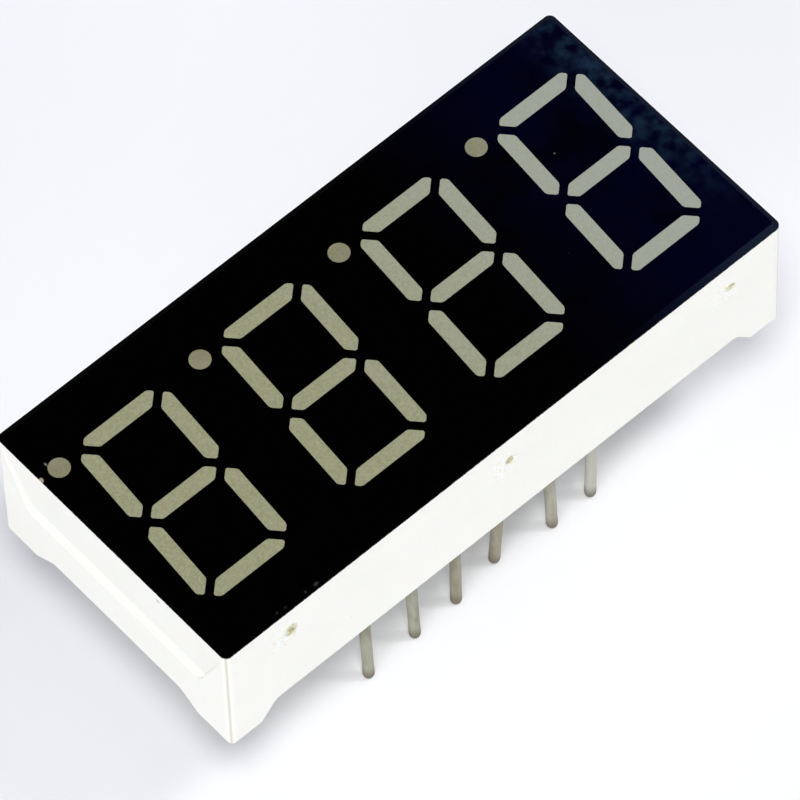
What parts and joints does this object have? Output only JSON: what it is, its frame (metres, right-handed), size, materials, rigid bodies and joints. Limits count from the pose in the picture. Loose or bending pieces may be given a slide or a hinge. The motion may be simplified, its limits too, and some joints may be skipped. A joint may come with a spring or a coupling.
{
  "type": "seven-segment display",
  "caption": "Four-digit seven-segment LED display with decimal points, black face, white shell and two rows of pins.",
  "frame": {"origin": "centre of the body on the plane that the pin tips stand on", "axes": "+Z out of the face, +X the reading direction along the digits, +Y towards the top of the digits"},
  "size_m": [0.03, 0.014, 0.0139],
  "materials": {
    "shell_plastic": "satin",
    "face_ink": "satin",
    "segment_resin": "satin",
    "board_laminate": "satin",
    "potting_resin": "gloss",
    "pin_tin": "satin",
    "solder": "satin",
    "bond_gold": "satin",
    "led_crystal": "gloss"
  },
  "bodies": {
    "root": {"reflector_shell": "shell_plastic", "face_mask": "face_ink", "digit_1_segment_a": "segment_resin", "digit_1_segment_b": "segment_resin", "digit_1_segment_c": "segment_resin", "digit_1_segment_d": "segment_resin", "digit_1_segment_e": "segment_resin", "digit_1_segment_f": "segment_resin", "digit_1_segment_g": "segment_resin", "digit_1_point": "segment_resin", "digit_1_led_chips": "led_crystal", "digit_1_bond_wires": "bond_gold", "digit_2_segment_a": "segment_resin", "digit_2_segment_b": "segment_resin", "digit_2_segment_c": "segment_resin", "digit_2_segment_d": "segment_resin", "digit_2_segment_e": "segment_resin", "digit_2_segment_f": "segment_resin", "digit_2_segment_g": "segment_resin", "digit_2_point": "segment_resin", "digit_2_led_chips": "led_crystal", "digit_2_bond_wires": "bond_gold", "digit_3_segment_a": "segment_resin", "digit_3_segment_b": "segment_resin", "digit_3_segment_c": "segment_resin", "digit_3_segment_d": "segment_resin", "digit_3_segment_e": "segment_resin", "digit_3_segment_f": "segment_resin", "digit_3_segment_g": "segment_resin", "digit_3_point": "segment_resin", "digit_3_led_chips": "led_crystal", "digit_3_bond_wires": "bond_gold", "digit_4_segment_a": "segment_resin", "digit_4_segment_b": "segment_resin", "digit_4_segment_c": "segment_resin", "digit_4_segment_d": "segment_resin", "digit_4_segment_e": "segment_resin", "digit_4_segment_f": "segment_resin", "digit_4_segment_g": "segment_resin", "digit_4_point": "segment_resin", "digit_4_led_chips": "led_crystal", "digit_4_bond_wires": "bond_gold", "bond_pads": "bond_gold", "circuit_board": "board_laminate", "pin_01": "pin_tin", "pin_02": "pin_tin", "pin_03": "pin_tin", "pin_04": "pin_tin", "pin_05": "pin_tin", "pin_06": "pin_tin", "pin_07": "pin_tin", "pin_08": "pin_tin", "pin_09": "pin_tin", "pin_10": "pin_tin", "pin_11": "pin_tin", "pin_12": "pin_tin", "solder_joints": "solder", "back_potting": "potting_resin"}
  },
  "joints": []
}
